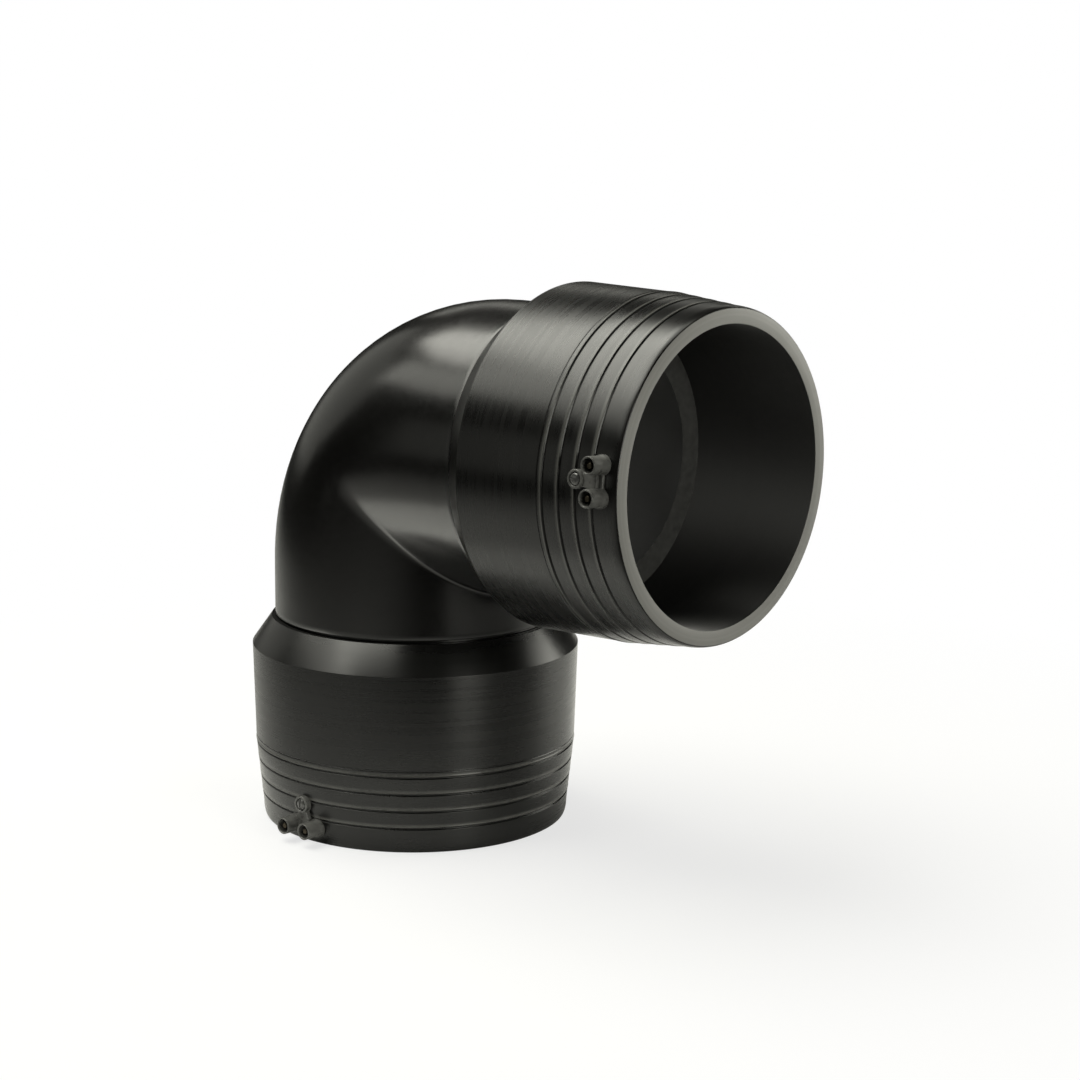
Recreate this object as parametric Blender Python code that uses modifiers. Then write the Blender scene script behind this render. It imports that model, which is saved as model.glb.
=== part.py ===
"""Electrofusion elbow, 90 degrees, for 200 mm polyethylene pipe.

A moulded bend carries a turned electrofusion socket on each of its two spigots. Each socket
holds a heating wire wound inside its wall, a terminal block with two shrouded contact pins,
and a fusion indicator. The elbow stands on the mouth of its lower socket, and its upper
socket opens along +X. The terminals are on the -Y side.
"""

import math

import bmesh
import bpy

# Driving dimensions, in metres

# Pipe and bend
PIPE_RADIUS = 0.1000
BODY_STEP = 0.0030
BODY_GAP = 0.0020
SPIGOT_WALL = 0.0182
SPIGOT_CHAMFER = 0.0012
SPIGOT_INSERTION = 0.0490
THROAT_LENGTH = 0.0300
HEEL_TIGHTENING = 0.0110

# Socket
SOCKET_LENGTH = 0.1490
SOCKET_CLEARANCE = 0.0006
REAR_LIP_WALL = 0.0049
REAR_LIP_CHAMFER = 0.0014
REAR_CHAMFER_LENGTH = 0.0202
MOUTH_WALL = 0.0100
MOUTH_EDGE_DROP = 0.0021
MOUTH_EDGE_LENGTH = 0.0095
MOUTH_CROWN_DROP = 0.0008
MOUTH_CROWN_LENGTH = 0.0028
GROOVED_TAPER = 0.0049
REAR_TAPER = 0.0022
MOUTH_BORE_CHAMFER = 0.0006
GROOVE_COUNT = 4
FIRST_GROOVE = 0.0179
GROOVE_PITCH = 0.0127
GROOVE_WIDTH = 0.0024
GROOVE_DEPTH = 0.0009
BEAD_WIDTH = 0.0046
BEAD_GROOVE_SHARE = 0.6

# Terminals and fusion indicator
TERMINAL_FROM_MOUTH = 0.0118
TERMINAL_SPACING = 0.0206
SHROUD_HEIGHT = 0.0138
SHROUD_RADIUS = 0.0059
SHROUD_BORE_RADIUS = 0.0047
SHROUD_BASE_RADIUS = 0.0068
SHROUD_BORE_DEPTH = 0.0120
SEAT_DEPTH = 0.0040
PIN_RADIUS = 0.0020
PIN_TIP_CHAMFER = 0.0005
PIN_RECESS = 0.0016
PIN_FOOT_RADIUS = 0.0031
INDICATOR_FROM_MOUTH = 0.0280
BOSS_RADIUS = 0.0062
BOSS_HEIGHT = 0.0044
BOSS_SEAT_DEPTH = 0.0030
INDICATOR_RADIUS = 0.0040
INDICATOR_LENGTH = 0.0085
INDICATOR_DOME = 0.0012
INDICATOR_SLOT_WIDTH = 0.0009
INDICATOR_SLOT_DEPTH = 0.0010
WEB_THICKNESS = 0.0060
WEB_HEIGHT = 0.0072
WEB_EDGE = 0.0006

# Heating coil
WIRE_RADIUS = 0.0006
WIRE_CHANNEL_GAP = 0.00045
COIL_DEPTH = 0.0031
COIL_START = 0.0270
COIL_LEAD = 0.0190
COIL_TURNS_EACH_WAY = 2

# Clearance between pieces that touch, and how far a cutter reaches past what it cuts
SEAT_GAP = 0.0003
CUTTER_REACH = 0.0100

# Where each socket's terminals sit, turned about its own axis from the -Y side, in degrees
UPPER_TERMINAL_TURN = 5.0
LOWER_TERMINAL_TURN = 1.0

# Facets
ROUND_FACETS = 48
SMALL_FACETS = 16
SHROUD_FACETS = 24
COIL_FACETS = 24
DOME_FACETS = 4
BODY_PLANES = (0, 9, 18, 27, 36, 43, 47, 54, 63, 72, 81, 90)
DUCT_PLANES = (0, 15, 30, 43, 47, 60, 75, 90)

# Sizes worked out from the driving dimensions

BODY_RADIUS = PIPE_RADIUS + BODY_STEP
HEEL_CENTRE_RADIUS = BODY_RADIUS - HEEL_TIGHTENING
MOUTH_TO_CORNER = BODY_RADIUS + THROAT_LENGTH + SOCKET_LENGTH
BODY_END = MOUTH_TO_CORNER - SOCKET_LENGTH - BODY_GAP
BORE_RADIUS = PIPE_RADIUS + SOCKET_CLEARANCE
REAR_LIP_RADIUS = BORE_RADIUS + REAR_LIP_WALL
MOUTH_FACE_RADIUS = BORE_RADIUS + MOUTH_WALL
EDGE_RADIUS = MOUTH_FACE_RADIUS + MOUTH_EDGE_DROP
BEAD_RADIUS = EDGE_RADIUS + GROOVED_TAPER
SHOULDER_RADIUS = BEAD_RADIUS + REAR_TAPER
LAST_GROOVE = FIRST_GROOVE + (GROOVE_COUNT - 1) * GROOVE_PITCH
SHOULDER_FROM_MOUTH = SOCKET_LENGTH - REAR_CHAMFER_LENGTH
SPIGOT_END = MOUTH_TO_CORNER - SOCKET_LENGTH + SPIGOT_INSERTION
COIL_RADIUS = BORE_RADIUS + COIL_DEPTH


def surface_radius(height):
    """Radius of the socket's tapering outside at a height above its mouth, grooves left out."""
    stations = ((MOUTH_EDGE_LENGTH, EDGE_RADIUS), (LAST_GROOVE, BEAD_RADIUS),
                (SHOULDER_FROM_MOUTH, SHOULDER_RADIUS))
    low, high = stations[:2] if height < LAST_GROOVE else stations[1:]
    share = (height - low[0]) / (high[0] - low[0])
    return low[1] + share * (high[1] - low[1])


TERMINAL_SURFACE = surface_radius(TERMINAL_FROM_MOUTH)
BOSS_SURFACE = surface_radius(INDICATOR_FROM_MOUTH)
SEAT_FLOOR = TERMINAL_SURFACE - SEAT_DEPTH
BOSS_SEAT_FLOOR = BOSS_SURFACE - BOSS_SEAT_DEPTH
SHROUD_RIM = TERMINAL_SURFACE + SHROUD_HEIGHT
SHROUD_FLOOR = SHROUD_RIM - SHROUD_BORE_DEPTH
BOSS_TOP = BOSS_SURFACE + BOSS_HEIGHT
PIN_TOP = SHROUD_RIM - PIN_RECESS
PIN_BOTTOM = COIL_RADIUS + WIRE_RADIUS + SEAT_GAP
PIN_WELL_FLOOR = COIL_RADIUS - WIRE_RADIUS - SEAT_GAP
INDICATOR_TOP = BOSS_TOP + INDICATOR_DOME / 2
INDICATOR_BOTTOM = INDICATOR_TOP - INDICATOR_LENGTH
BASE_SEAT_RADIUS = SHROUD_BASE_RADIUS + SEAT_GAP
BOSS_SEAT_RADIUS = BOSS_RADIUS + SEAT_GAP


# Scene helpers

def clear_scene():
    """Remove every object and the collections that an earlier run left."""
    for item in list(bpy.data.objects):
        bpy.data.objects.remove(item, do_unlink=True)
    for group in list(bpy.data.collections):
        bpy.data.collections.remove(group)


def make_collection(name):
    """Add a collection to the scene."""
    group = bpy.data.collections.new(name)
    bpy.context.scene.collection.children.link(group)
    return group


def make_material(name, colour, roughness, metallic=0.0):
    """A Principled material of one plain finish."""
    material = bpy.data.materials.new(name)
    material.use_nodes = True
    shader = material.node_tree.nodes["Principled BSDF"]
    shader.inputs["Base Color"].default_value = (*colour, 1.0)
    shader.inputs["Roughness"].default_value = roughness
    shader.inputs["Metallic"].default_value = metallic
    return material


def add_object(name, data, group, parent, location=(0, 0, 0), rotation=(0, 0, 0)):
    """Put an object in a collection, placed in its parent's frame."""
    item = bpy.data.objects.new(name, data)
    group.objects.link(item)
    item.parent = parent
    item.location = location
    item.rotation_euler = rotation
    return item


def as_cutter(item):
    """Mark an object as a tool that shapes other pieces."""
    item.hide_render = True
    item.display_type = "WIRE"
    return item


def boolean(item, tool, operation="DIFFERENCE"):
    """Cut or join another object's shape."""
    step = item.modifiers.new(tool.name, "BOOLEAN")
    step.operation = operation
    step.object = tool
    step.solver = "EXACT"


def profile_mesh(name, points, closed=True):
    """A line of (radius, height) points in the XZ plane, ready to be turned about Z."""
    shape = bmesh.new()
    corners = [shape.verts.new((radius, 0, height)) for radius, height in points]
    for start, end in zip(corners, corners[1:]):
        shape.edges.new((start, end))
    if closed:
        shape.edges.new((corners[-1], corners[0]))
    mesh = bpy.data.meshes.new(name)
    shape.to_mesh(mesh)
    shape.free()
    return mesh


def turn(item, facets):
    """Turn a profile once about its Z axis."""
    step = item.modifiers.new("turn", "SCREW")
    step.steps = facets
    step.render_steps = facets
    step.use_merge_vertices = True
    step.merge_threshold = 0.00005
    step.use_smooth_shade = True


def round_bar(name, low_radius, high_radius, low, high, facets):
    """A straight or tapered round bar along Z, closed at both ends."""
    shape = bmesh.new()
    bmesh.ops.create_cone(shape, cap_ends=True, segments=facets, radius1=low_radius,
                          radius2=high_radius, depth=high - low)
    bmesh.ops.translate(shape, verts=shape.verts, vec=(0, 0, (low + high) / 2))
    mesh = bpy.data.meshes.new(name)
    shape.to_mesh(mesh)
    shape.free()
    return mesh


def prism_mesh(name, outline, low, high):
    """A solid with an outline of (x, z) points and straight sides from low to high along Y."""
    shape = bmesh.new()
    base = shape.faces.new([shape.verts.new((x, low, z)) for x, z in outline])
    grown = bmesh.ops.extrude_face_region(shape, geom=[base])
    moved = [item for item in grown["geom"] if isinstance(item, bmesh.types.BMVert)]
    bmesh.ops.translate(shape, verts=moved, vec=(0, high - low, 0))
    bmesh.ops.recalc_face_normals(shape, faces=shape.faces)
    mesh = bpy.data.meshes.new(name)
    shape.to_mesh(mesh)
    shape.free()
    return mesh


# Bend

def throat_reach(angle, offset):
    """Distance from the throat pivot to the straight leg's side at an offset below its axis."""
    return (BODY_RADIUS - offset) / math.cos(angle)


def heel_reach(angle, offset):
    """Distance from the throat pivot to the heel at an offset outside the centre line.

    The leg stays straight down to the plane where the heel's arc begins.
    """
    straight = (BODY_RADIUS + offset) / math.cos(angle)
    if BODY_RADIUS - straight * math.sin(angle) >= HEEL_CENTRE_RADIUS:
        return straight
    shift = BODY_RADIUS - HEEL_CENTRE_RADIUS
    half = shift * (math.sin(angle) + math.cos(angle))
    reach = HEEL_CENTRE_RADIUS + offset
    return half + math.sqrt(half ** 2 - 2 * shift ** 2 + reach ** 2)


def cheek_offset(angle):
    """Offset at which the straight leg's side meets the heel's arc, on the widest part."""
    slope = math.tan(angle)
    start = BODY_RADIUS - HEEL_CENTRE_RADIUS - BODY_RADIUS * slope
    if start >= 0:
        return 0.0
    middle = 2 * start * slope - 4 * HEEL_CENTRE_RADIUS
    root = math.sqrt(middle ** 2 - 4 * slope ** 2 * start ** 2)
    return (-middle - root) / (2 * slope ** 2)


def bend_section(degrees, radius):
    """One section of the bend, in the plane through the throat pivot at this angle.

    The legs meet in a mitre at the throat, and the heel is a round arc. Sections past the
    mitre are the mirror image of those before it.
    """
    mirrored = degrees > 45
    angle = math.radians(90 - degrees if mirrored else degrees)
    quarter = ROUND_FACETS // 4
    widest = math.asin(cheek_offset(angle) / radius)
    sweep = [math.pi / 2 + (widest - math.pi / 2) * step / quarter for step in range(quarter + 1)]
    side = [(throat_reach(angle, radius * math.sin(a)), radius * math.cos(a)) for a in sweep]
    side += [(heel_reach(angle, radius * math.sin(a)), radius * math.cos(a))
             for a in reversed(sweep[:-1])]
    ring = [(reach, -width) for reach, width in side]
    ring += [(reach, width) for reach, width in reversed(side[1:-1])]
    points = []
    for reach, width in ring:
        across = BODY_RADIUS - reach * math.sin(angle)
        up = reach * math.cos(angle) - BODY_RADIUS
        points.append((-up, width, -across) if mirrored else (across, width, up))
    return points


def leg_section(distance, radius, lower):
    """A round section square to a leg, at a distance from the corner."""
    points = []
    for step in range(ROUND_FACETS):
        angle = 2 * math.pi * step / ROUND_FACETS
        down, width = radius * math.cos(angle), -radius * math.sin(angle)
        points.append((down, width, -distance) if lower else (distance, width, -down))
    return points


def bend_mesh():
    """The moulded bend: a round body with a thinner spigot at each end, and a round duct."""
    duct_radius = PIPE_RADIUS - SPIGOT_WALL
    leg = ((SPIGOT_END, PIPE_RADIUS - SPIGOT_CHAMFER), (SPIGOT_END - SPIGOT_CHAMFER, PIPE_RADIUS),
           (BODY_END, PIPE_RADIUS), (BODY_END, BODY_RADIUS))
    sections = [leg_section(distance, radius, False) for distance, radius in leg]
    sections += [bend_section(degrees, BODY_RADIUS) for degrees in BODY_PLANES]
    sections += [leg_section(distance, radius, True) for distance, radius in reversed(leg)]
    sections.append(leg_section(SPIGOT_END, duct_radius, True))
    sections += [bend_section(degrees, duct_radius) for degrees in reversed(DUCT_PLANES)]
    sections.append(leg_section(SPIGOT_END, duct_radius, False))
    shape = bmesh.new()
    rings = [[shape.verts.new(point) for point in section] for section in sections]
    for ring, following in zip(rings, rings[1:] + rings[:1]):
        for step in range(ROUND_FACETS):
            after = (step + 1) % ROUND_FACETS
            shape.faces.new((ring[step], ring[after], following[after], following[step]))
    bmesh.ops.recalc_face_normals(shape, faces=shape.faces)
    mesh = bpy.data.meshes.new("bend")
    shape.to_mesh(mesh)
    shape.free()
    mesh.shade_smooth()
    mesh.set_sharp_from_angle(angle=math.radians(35))
    return mesh


# Socket, in its own frame: the mouth lies on Z = 0 and the wall runs up along +Z

def groove(height, width, depth):
    """Three profile points of a turned groove, from its upper edge to its lower edge."""
    upper, lower = height + width / 2, height - width / 2
    return [(surface_radius(upper), upper), (surface_radius(height) - depth, height),
            (surface_radius(lower), lower)]


def socket_profile():
    """The turned socket: down its outside, across its mouth and back up its bore."""
    points = [(REAR_LIP_RADIUS, SOCKET_LENGTH), (SHOULDER_RADIUS, SHOULDER_FROM_MOUTH)]
    points += groove(LAST_GROOVE + BEAD_WIDTH, GROOVE_WIDTH * BEAD_GROOVE_SHARE,
                     GROOVE_DEPTH * BEAD_GROOVE_SHARE)
    for number in reversed(range(GROOVE_COUNT)):
        points += groove(FIRST_GROOVE + number * GROOVE_PITCH, GROOVE_WIDTH, GROOVE_DEPTH)
    points += [(EDGE_RADIUS, MOUTH_EDGE_LENGTH),
               (EDGE_RADIUS - MOUTH_CROWN_DROP, MOUTH_CROWN_LENGTH),
               (MOUTH_FACE_RADIUS, 0),
               (BORE_RADIUS + MOUTH_BORE_CHAMFER, 0), (BORE_RADIUS, MOUTH_BORE_CHAMFER),
               (BORE_RADIUS, SOCKET_LENGTH - REAR_LIP_CHAMFER),
               (BORE_RADIUS + REAR_LIP_CHAMFER, SOCKET_LENGTH)]
    return points


def coil_path():
    """Points along the heating wire, laid double so that both ends reach the terminals.

    The wire rises from one pin, winds away from the mouth, turns back at the far end and
    winds down between its own turns to the other pin.
    """
    half_span = math.asin(TERMINAL_SPACING / 2 / COIL_RADIUS)
    first = -math.pi / 2 + half_span
    last = -math.pi / 2 - half_span
    step = 2 * math.pi / COIL_FACETS
    steps = COIL_TURNS_EACH_WAY * COIL_FACETS
    rise = COIL_LEAD / COIL_FACETS
    half_lead = COIL_LEAD / 2
    far = first + steps * step
    track = [(first, TERMINAL_FROM_MOUTH)]
    track += [(first + i * step, COIL_START + i * rise) for i in range(steps + 1)]
    track += [(far + step / 2, COIL_START + steps * rise + half_lead / 2)]
    track += [(first + i * step, COIL_START + half_lead + i * rise)
              for i in reversed(range(steps + 1))]
    track += [(last, COIL_START + half_lead), (last, TERMINAL_FROM_MOUTH)]
    return [(COIL_RADIUS * math.cos(a), COIL_RADIUS * math.sin(a), z) for a, z in track]


def wire_curve(name, points, radius):
    """A four-sided wire through the points, with closed ends."""
    curve = bpy.data.curves.new(name, "CURVE")
    curve.dimensions = "3D"
    curve.bevel_depth = radius
    curve.bevel_resolution = 0
    curve.use_fill_caps = True
    spline = curve.splines.new("POLY")
    spline.points.add(len(points) - 1)
    for point, place in zip(spline.points, points):
        point.co = (*place, 1.0)
    return curve


def channel_cutter(name, points, radius, group, parent):
    """The wire's channel as a closed mesh, a little wider than the wire."""
    guide = add_object(name + "_guide", wire_curve(name + "_guide", points, radius), group, None)
    bpy.context.view_layer.update()
    solid = guide.evaluated_get(bpy.context.evaluated_depsgraph_get())
    mesh = bpy.data.meshes.new_from_object(solid)
    bpy.data.objects.remove(guide, do_unlink=True)
    shape = bmesh.new()
    shape.from_mesh(mesh)
    bmesh.ops.remove_doubles(shape, verts=shape.verts, dist=0.00001)
    bmesh.ops.recalc_face_normals(shape, faces=shape.faces)
    shape.to_mesh(mesh)
    shape.free()
    return as_cutter(add_object(name, mesh, group, parent))


def outward(x, height):
    """Location and rotation that point an object's Z out of the terminal side of a socket."""
    return {"location": (x, 0, height), "rotation": (math.pi / 2, 0, 0)}


def radial_tool(prefix, label, low_radius, high_radius, low, high, x, height, group, parent):
    """A round tool that stands square to the terminal side of a socket."""
    name = prefix + label
    mesh = round_bar(name, low_radius, high_radius, low, high, SHROUD_FACETS)
    return as_cutter(add_object(name, mesh, group, parent, **outward(x, height)))


def terminal_places():
    """The two terminals' labels and places across the terminal side."""
    return (("a", TERMINAL_SPACING / 2), ("b", -TERMINAL_SPACING / 2))


def build_socket(prefix, parts, tools, frame, material):
    """The turned socket with its wire channel, terminal seats and pin wells."""
    profile = profile_mesh(prefix + "socket", socket_profile())
    socket = add_object(prefix + "socket", profile, parts, frame)
    turn(socket, ROUND_FACETS)
    clear = SHROUD_RIM + CUTTER_REACH
    for label, x in terminal_places():
        boolean(socket, radial_tool(prefix, "seat_cut_" + label, BASE_SEAT_RADIUS,
                                    BASE_SEAT_RADIUS, SEAT_FLOOR, clear, x,
                                    TERMINAL_FROM_MOUTH, tools, frame))
        well = PIN_FOOT_RADIUS + SEAT_GAP
        boolean(socket, radial_tool(prefix, "pin_well_" + label, well, well, PIN_WELL_FLOOR,
                                    clear, x, TERMINAL_FROM_MOUTH, tools, frame))
    boolean(socket, radial_tool(prefix, "boss_seat_cut", BOSS_SEAT_RADIUS, BOSS_SEAT_RADIUS,
                                BOSS_SEAT_FLOOR, clear, 0, INDICATOR_FROM_MOUTH, tools, frame))
    well = INDICATOR_RADIUS + SEAT_GAP
    boolean(socket, radial_tool(prefix, "indicator_well", well, well,
                                INDICATOR_BOTTOM - SEAT_GAP, clear, 0,
                                INDICATOR_FROM_MOUTH, tools, frame))
    boolean(socket, channel_cutter(prefix + "wire_channel", coil_path(),
                                   WIRE_RADIUS + WIRE_CHANNEL_GAP, tools, frame))
    socket.data.materials.append(material)


def build_terminal_block(prefix, parts, tools, frame, material):
    """The moulded block: two shrouds and the indicator boss, joined by a web."""
    half_web = WEB_THICKNESS / 2
    web_foot = -(SEAT_FLOOR + SEAT_GAP * 2)
    web_top = -(TERMINAL_SURFACE + WEB_HEIGHT)
    reach = TERMINAL_SPACING / 2
    outline = [(side * reach, TERMINAL_FROM_MOUTH + edge * half_web)
               for side, edge in ((-1, -1), (1, -1), (1, 1), (-1, 1))]
    cross = prism_mesh(prefix + "terminal_block", outline, web_top, web_foot)
    block = add_object(prefix + "terminal_block", cross, parts, frame)
    step = block.modifiers.new("edges", "BEVEL")
    step.width = WEB_EDGE
    step.segments = 1
    outline = [(-reach, TERMINAL_FROM_MOUTH), (reach, TERMINAL_FROM_MOUTH),
               (half_web, INDICATOR_FROM_MOUTH), (-half_web, INDICATOR_FROM_MOUTH)]
    gusset_mesh = prism_mesh(prefix + "gusset", outline, WEB_EDGE - BOSS_TOP,
                             web_foot - SEAT_GAP)
    boolean(block, as_cutter(add_object(prefix + "gusset", gusset_mesh, tools, frame)), "UNION")
    skin_low = -SHROUD_BASE_RADIUS
    skin_high = INDICATOR_FROM_MOUTH + 2 * BOSS_RADIUS
    skin_profile = profile_mesh(prefix + "skin_cut",
                                [(0, skin_high), (surface_radius(skin_high) + SEAT_GAP, skin_high),
                                 (surface_radius(skin_low) + SEAT_GAP, skin_low), (0, skin_low)],
                                closed=False)
    skin = as_cutter(add_object(prefix + "skin_cut", skin_profile, tools, frame))
    turn(skin, ROUND_FACETS)
    boolean(block, skin)
    boolean(block, radial_tool(prefix, "boss", BOSS_RADIUS, BOSS_RADIUS,
                               BOSS_SEAT_FLOOR + SEAT_GAP, BOSS_TOP, 0,
                               INDICATOR_FROM_MOUTH, tools, frame), "UNION")
    for label, x in terminal_places():
        boolean(block, radial_tool(prefix, "shroud_" + label, SHROUD_BASE_RADIUS, SHROUD_RADIUS,
                                   SEAT_FLOOR + SEAT_GAP, SHROUD_RIM, x,
                                   TERMINAL_FROM_MOUTH, tools, frame), "UNION")
    clear = SHROUD_RIM + CUTTER_REACH
    for label, x in terminal_places():
        boolean(block, radial_tool(prefix, "shroud_bore_" + label, SHROUD_BORE_RADIUS,
                                   SHROUD_BORE_RADIUS, SHROUD_FLOOR, clear, x,
                                   TERMINAL_FROM_MOUTH, tools, frame))
        hole = PIN_RADIUS + SEAT_GAP
        boolean(block, radial_tool(prefix, "pin_hole_" + label, hole, hole, PIN_WELL_FLOOR,
                                   clear, x, TERMINAL_FROM_MOUTH, tools, frame))
    hole = INDICATOR_RADIUS + SEAT_GAP
    boolean(block, radial_tool(prefix, "indicator_hole", hole, hole, PIN_WELL_FLOOR, clear, 0,
                               INDICATOR_FROM_MOUTH, tools, frame))
    block.data.materials.append(material)


def build_pins(prefix, parts, frame, material):
    """Two contact pins, each with a foot between the wire and the terminal block."""
    points = [(0, PIN_TOP), (PIN_RADIUS - PIN_TIP_CHAMFER, PIN_TOP),
              (PIN_RADIUS, PIN_TOP - PIN_TIP_CHAMFER), (PIN_RADIUS, SEAT_FLOOR),
              (PIN_FOOT_RADIUS, SEAT_FLOOR), (PIN_FOOT_RADIUS, PIN_BOTTOM), (0, PIN_BOTTOM)]
    for label, x in terminal_places():
        name = prefix + "terminal_pin_" + label
        pin = add_object(name, profile_mesh(name, points, closed=False), parts, frame,
                         **outward(x, TERMINAL_FROM_MOUTH))
        turn(pin, SMALL_FACETS)
        pin.data.materials.append(material)


def build_indicator(prefix, parts, tools, frame, material):
    """The fusion indicator: a slotted, domed pin in its boss."""
    shoulder = INDICATOR_TOP - INDICATOR_DOME
    points = [(0, INDICATOR_TOP)]
    for step in range(1, DOME_FACETS + 1):
        angle = math.pi / 2 * step / DOME_FACETS
        points.append((INDICATOR_RADIUS * math.sin(angle),
                       shoulder + INDICATOR_DOME * math.cos(angle)))
    points += [(INDICATOR_RADIUS, INDICATOR_BOTTOM), (0, INDICATOR_BOTTOM)]
    name = prefix + "fusion_indicator"
    place = outward(0, INDICATOR_FROM_MOUTH)
    indicator = add_object(name, profile_mesh(name, points, closed=False), parts, frame, **place)
    turn(indicator, SMALL_FACETS)
    half = INDICATOR_SLOT_WIDTH / 2
    floor, ceiling = INDICATOR_TOP - INDICATOR_SLOT_DEPTH, INDICATOR_TOP + CUTTER_REACH
    outline = [(-half, floor), (half, floor), (half, ceiling), (-half, ceiling)]
    slot = prism_mesh(prefix + "slot_cut", outline, -CUTTER_REACH, CUTTER_REACH)
    boolean(indicator, as_cutter(add_object(prefix + "slot_cut", slot, tools, frame, **place)))
    indicator.data.materials.append(material)


def build_coil(prefix, parts, frame, material):
    """The heating wire, hidden in its channel in the socket's wall."""
    name = prefix + "heating_coil"
    coil = add_object(name, wire_curve(name, coil_path(), WIRE_RADIUS), parts, frame)
    coil.data.materials.append(material)


def make_frame(name, group, parent, location, rotation):
    """An empty that carries a group of pieces."""
    frame = add_object(name, None, group, parent, location, rotation)
    frame.hide_render = True
    return frame


def box_centre():
    """Middle of the whole elbow's outer box, seen from above, measured from the corner."""
    turn_angle = math.radians(UPPER_TERMINAL_TURN)
    reach = (SHROUD_RIM * math.cos(turn_angle)
             + (TERMINAL_SPACING / 2 + SHROUD_RADIUS) * math.sin(turn_angle))
    return (MOUTH_TO_CORNER - SHOULDER_RADIUS) / 2, (SHOULDER_RADIUS - reach) / 2


def build():
    """Build the elbow."""
    clear_scene()
    parts = make_collection("electrofusion_elbow")
    tools = make_collection("cutters")
    moulded = make_material("moulded_polyethylene", (0.020, 0.020, 0.019), 0.38)
    turned = make_material("turned_polyethylene", (0.026, 0.026, 0.025), 0.46)
    terminal = make_material("terminal_polyethylene", (0.045, 0.045, 0.045), 0.42)
    brass = make_material("pin_brass", (0.72, 0.60, 0.36), 0.30, 1.0)
    wire = make_material("heating_wire", (0.62, 0.42, 0.28), 0.35, 1.0)

    centre_x, centre_y = box_centre()
    corner = make_frame("corner_frame", parts, None, (-centre_x, -centre_y, MOUTH_TO_CORNER),
                        (0, 0, 0))
    bend = add_object("bend", bend_mesh(), parts, corner)
    bend.data.materials.append(moulded)

    upper = make_frame("upper_socket_frame", parts, corner, (MOUTH_TO_CORNER, 0, 0),
                       (0, -math.pi / 2, 0))
    lower = make_frame("lower_socket_frame", parts, corner, (0, 0, -MOUTH_TO_CORNER), (0, 0, 0))
    for prefix, frame, degrees in (("upper_", upper, UPPER_TERMINAL_TURN),
                                   ("lower_", lower, LOWER_TERMINAL_TURN)):
        turned_frame = make_frame(prefix + "turned_frame", parts, frame, (0, 0, 0),
                                  (0, 0, math.radians(degrees)))
        build_socket(prefix, parts, tools, turned_frame, turned)
        build_terminal_block(prefix, parts, tools, turned_frame, terminal)
        build_pins(prefix, parts, turned_frame, brass)
        build_indicator(prefix, parts, tools, turned_frame, terminal)
        build_coil(prefix, parts, turned_frame, wire)


build()
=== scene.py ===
"""Looks of the electrofusion elbow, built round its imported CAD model.

Two turned sockets sit on the spigots of a moulded bend. Each carries a terminal block with two
shrouded brass pins and a fusion indicator. Everything is in metres, in the CAD model's frame.
"""

import math

import bmesh
import bpy
from bpy.props import FloatProperty, FloatVectorProperty, IntProperty, PointerProperty
from mathutils import Matrix, Vector


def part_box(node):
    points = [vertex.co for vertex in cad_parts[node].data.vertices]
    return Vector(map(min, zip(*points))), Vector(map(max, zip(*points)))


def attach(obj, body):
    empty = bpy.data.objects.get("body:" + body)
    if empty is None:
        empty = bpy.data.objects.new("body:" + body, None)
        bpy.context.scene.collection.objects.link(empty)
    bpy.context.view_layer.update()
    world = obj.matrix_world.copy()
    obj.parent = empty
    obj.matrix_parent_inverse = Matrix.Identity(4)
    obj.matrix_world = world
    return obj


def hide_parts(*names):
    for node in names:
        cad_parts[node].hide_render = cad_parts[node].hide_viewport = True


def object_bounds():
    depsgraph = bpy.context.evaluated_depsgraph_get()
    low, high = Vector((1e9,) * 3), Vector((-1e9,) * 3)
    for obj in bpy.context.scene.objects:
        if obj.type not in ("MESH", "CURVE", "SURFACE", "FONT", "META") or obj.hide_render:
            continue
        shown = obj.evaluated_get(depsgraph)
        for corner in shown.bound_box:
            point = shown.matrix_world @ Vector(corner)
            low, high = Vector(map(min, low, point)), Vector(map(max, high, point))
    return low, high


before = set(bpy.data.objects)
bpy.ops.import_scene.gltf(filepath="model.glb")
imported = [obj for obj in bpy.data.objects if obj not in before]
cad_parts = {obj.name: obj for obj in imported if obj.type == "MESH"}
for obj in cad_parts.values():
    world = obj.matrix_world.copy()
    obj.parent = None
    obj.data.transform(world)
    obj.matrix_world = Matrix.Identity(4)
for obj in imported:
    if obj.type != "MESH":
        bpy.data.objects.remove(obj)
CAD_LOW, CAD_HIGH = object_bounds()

bl_info = {
    "name": "Electrofusion Elbow",
    "version": (1, 0, 0),
    "blender": (4, 5, 0),
    "location": "3D View > Sidebar > Elbow",
    "description": "Models the looks of a 90 degree electrofusion elbow for 200 mm pipe",
    "category": "Object",
}

BODY = "root"
ENDS = (("upper", True), ("lower", False))
GROOVE_COUNT = 4
SHARP_ANGLE = math.radians(32)
TOOL_LINE_SPREAD = 0.65
TOOL_LINE_DEPTH = 0.00003
WHITE = (1.0, 1.0, 1.0, 1.0)
SOCKET_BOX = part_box("lower_socket")
UPPER_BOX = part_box("upper_socket")
BEND_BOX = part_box("bend")
CORNER = Vector(((SOCKET_BOX[0].x + SOCKET_BOX[1].x) / 2, (UPPER_BOX[0].y + UPPER_BOX[1].y) / 2,
                 (UPPER_BOX[0].z + UPPER_BOX[1].z) / 2))
MOUTH_TO_CORNER = UPPER_BOX[1].x - CORNER.x
SOCKET_LENGTH = SOCKET_BOX[1].z - SOCKET_BOX[0].z
SPIGOT_END = BEND_BOX[1].x - CORNER.x
BODY_RADIUS = (BEND_BOX[1].y - BEND_BOX[0].y) / 2


# Settings

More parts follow.
